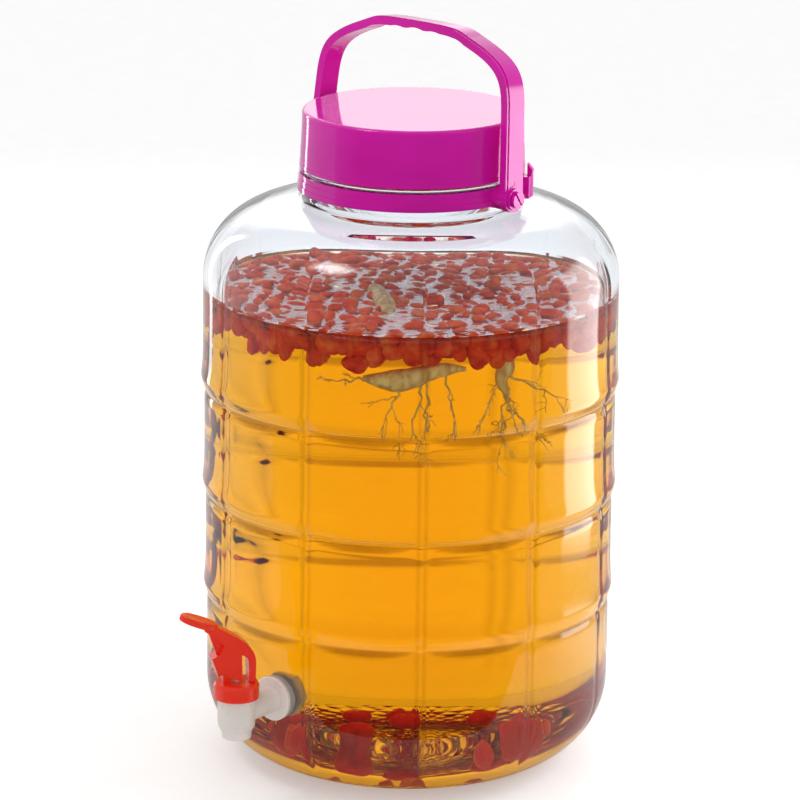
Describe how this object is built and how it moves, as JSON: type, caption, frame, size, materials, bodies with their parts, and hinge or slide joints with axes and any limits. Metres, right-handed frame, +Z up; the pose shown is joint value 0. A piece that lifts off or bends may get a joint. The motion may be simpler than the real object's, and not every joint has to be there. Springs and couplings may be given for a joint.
{
  "type": "glass infusion jar with spigot",
  "caption": "Round quilted glass infusion jar on a flat base, with a screw lid, a bail handle on a neck collar, a push-lever spigot near the foot, and infused liquor inside.",
  "frame": {"origin": "centre of the flat base the jar stands on", "axes": "+Z up along the jar's axis, the spigot points along -Y, the handle's pivots lie near the X axis"},
  "size_m": [0.2546, 0.317, 0.4555],
  "materials": {
    "jar_glass": "clear pressed glass, smooth and glossy",
    "lid_plastic": "glossy magenta polypropylene",
    "liner_foam": "white foam liner",
    "spigot_white": "milky natural polypropylene, satin",
    "spigot_red": "glossy red polypropylene",
    "washer_silicone": "translucent milky silicone",
    "spring_steel": "bright stainless steel",
    "liquor": "clear amber liquor",
    "berries": "wet wrinkled red berries",
    "root": "pale beige root, faintly ringed"
  },
  "bodies": {
    "jar": {"glass_jar": "jar_glass", "liquor": "liquor", "floating_berries": "berries", "sunk_berries": "berries", "front_root": "root", "side_root": "root", "spigot_body": "spigot_white", "outer_washer": "washer_silicone", "inner_washer": "washer_silicone", "spigot_nut": "spigot_white", "barrel_gasket": "washer_silicone", "spigot_bonnet": "spigot_red", "stem_ring_seal": "washer_silicone", "lever_pin": "spring_steel"},
    "liner": {"lid_liner": "liner_foam"},
    "lid": {"lid": "lid_plastic"},
    "collar": {"neck_collar": "lid_plastic"},
    "bail": {"bail_handle": "lid_plastic"},
    "lever": {"spigot_lever": "spigot_red"},
    "valve": {"valve_stem": "spigot_white", "valve_plug": "washer_silicone", "return_spring": "spring_steel"}
  },
  "joints": [
    {"name": "lid_rise", "type": "slide", "parent": "jar", "child": "liner", "axis": [0, 0, 1], "range_m": [0, 0.016]},
    {"name": "lid_turn", "type": "hinge", "parent": "liner", "child": "lid", "pos_m": [0, 0, 0.38], "axis": [0, 0, 1], "range_deg": [0, 720]},
    {"name": "collar_swivel", "type": "hinge", "parent": "jar", "child": "collar", "pos_m": [0, 0, 0.35966], "axis": [0, 0, 1], "continuous": true},
    {"name": "bail_swing", "type": "hinge", "parent": "collar", "child": "bail", "pos_m": [0, 0, 0.35966], "axis": [0.9986, -0.0523, 0], "range_deg": [-90, 100]},
    {"name": "lever_press", "type": "hinge", "parent": "jar", "child": "lever", "pos_m": [-0.00369, -0.16598, 0.09], "axis": [0.8039, -0.5948, 0], "range_deg": [0, 25], "stiffness_Nm_per_rad": 0.12, "springref_deg": -17.19},
    {"name": "valve_lift", "type": "slide", "parent": "jar", "child": "valve", "axis": [0, 0, 1], "range_m": [0, 0.0027], "deforming": ["return_spring"]}
  ],
  "couplings": [
    {"joint": "lid_turn", "follows": "lid_rise", "rad_per_m": 785.4},
    {"joint": "lever_press", "follows": "valve_lift", "rad_per_m": 161.29}
  ]
}
